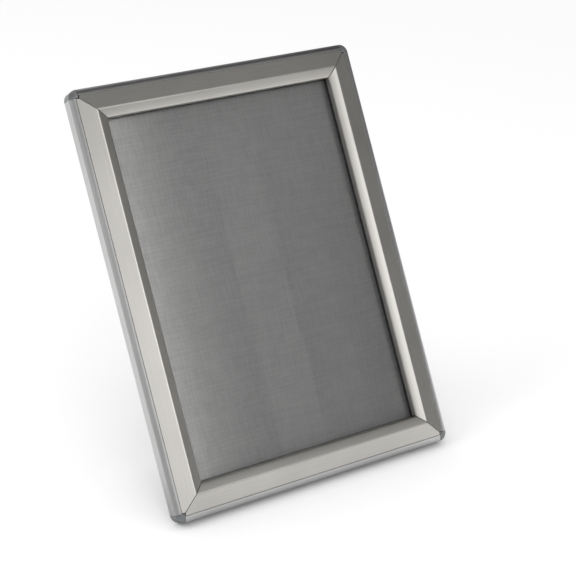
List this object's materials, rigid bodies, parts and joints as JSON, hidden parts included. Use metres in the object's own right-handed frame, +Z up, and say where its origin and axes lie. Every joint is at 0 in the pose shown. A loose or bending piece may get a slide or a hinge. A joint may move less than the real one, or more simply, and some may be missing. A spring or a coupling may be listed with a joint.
{
  "type": "snap poster frame",
  "caption": "Portrait snap frame with hinged mitred rails, rounded corner caps, a clear sheet over a plain grey sheet, and a folding strut behind.",
  "frame": {"origin": "centre of the bounding box in plan, at the level of the surface it stands on", "axes": "+Z up, +X to the right seen from the front, the picture faces -Y and 30 degrees up"},
  "size_m": [0.24, 0.176, 0.2885],
  "materials": {
    "base_aluminium": "satin anodised",
    "face_aluminium": "satin anodised, warm silver",
    "strip_vinyl": "soft black vinyl, matte",
    "cap_plastic": "fine texture",
    "spring_steel": "blued spring steel",
    "panel_board": "smooth rigid board",
    "poster_paper": "plain grey, fine linen texture",
    "clear_plastic": "clear, anti-glare",
    "strut_metal": "black powder coat",
    "foot_rubber": "matte",
    "zinc_steel": "zinc plated"
  },
  "bodies": {
    "frame_base": {"base_rail_top": "base_aluminium", "base_rail_bottom": "base_aluminium", "base_rail_left": "base_aluminium", "base_rail_right": "base_aluminium", "leaf_spring_top_a": "spring_steel", "leaf_spring_top_b": "spring_steel", "leaf_spring_bottom_a": "spring_steel", "leaf_spring_bottom_b": "spring_steel", "leaf_spring_left_a": "spring_steel", "leaf_spring_left_b": "spring_steel", "leaf_spring_right_a": "spring_steel", "leaf_spring_right_b": "spring_steel", "corner_cap_top_left": "cap_plastic", "corner_cap_top_right": "cap_plastic", "corner_cap_bottom_left": "cap_plastic", "corner_cap_bottom_right": "cap_plastic", "corner_key_top_left": "zinc_steel", "corner_key_top_right": "zinc_steel", "corner_key_bottom_left": "zinc_steel", "corner_key_bottom_right": "zinc_steel", "corner_key_screws": "zinc_steel", "back_panel": "panel_board", "poster_sheet": "poster_paper", "clear_sheet": "clear_plastic", "strut_hinge_plate": "strut_metal", "strut_hinge_screws": "zinc_steel", "strut_hinge_pin": "zinc_steel"},
    "top_rail": {"snap_rail_top": "face_aluminium", "lip_strip_top": "strip_vinyl"},
    "bottom_rail": {"snap_rail_bottom": "face_aluminium", "lip_strip_bottom": "strip_vinyl"},
    "left_rail": {"snap_rail_left": "face_aluminium", "lip_strip_left": "strip_vinyl"},
    "right_rail": {"snap_rail_right": "face_aluminium", "lip_strip_right": "strip_vinyl"},
    "strut": {"strut_leg": "strut_metal", "strut_foot": "foot_rubber"}
  },
  "joints": [
    {"name": "top_rail_hinge", "type": "hinge", "parent": "frame_base", "child": "top_rail", "pos_m": [0, 0.07514, 0.28521], "axis": [-1, 0, 0], "range_deg": [0, 90], "deforming": ["leaf_spring_top_a", "leaf_spring_top_b"]},
    {"name": "bottom_rail_hinge", "type": "hinge", "parent": "frame_base", "child": "bottom_rail", "pos_m": [0, -0.08526, 0.00739], "axis": [1, 0, 0], "range_deg": [0, 90], "deforming": ["leaf_spring_bottom_a", "leaf_spring_bottom_b"]},
    {"name": "left_rail_hinge", "type": "hinge", "parent": "frame_base", "child": "left_rail", "pos_m": [-0.1169, -0.00506, 0.1463], "axis": [0, -0.5, -0.866], "range_deg": [0, 90], "deforming": ["leaf_spring_left_a", "leaf_spring_left_b"]},
    {"name": "right_rail_hinge", "type": "hinge", "parent": "frame_base", "child": "right_rail", "pos_m": [0.1169, -0.00506, 0.1463], "axis": [0, 0.5, 0.866], "range_deg": [0, 90], "deforming": ["leaf_spring_right_a", "leaf_spring_right_b"]},
    {"name": "strut_hinge", "type": "hinge", "parent": "frame_base", "child": "strut", "pos_m": [0, 0.03177, 0.1845], "axis": [1, 0, 0], "range_deg": [-46, 0]}
  ]
}
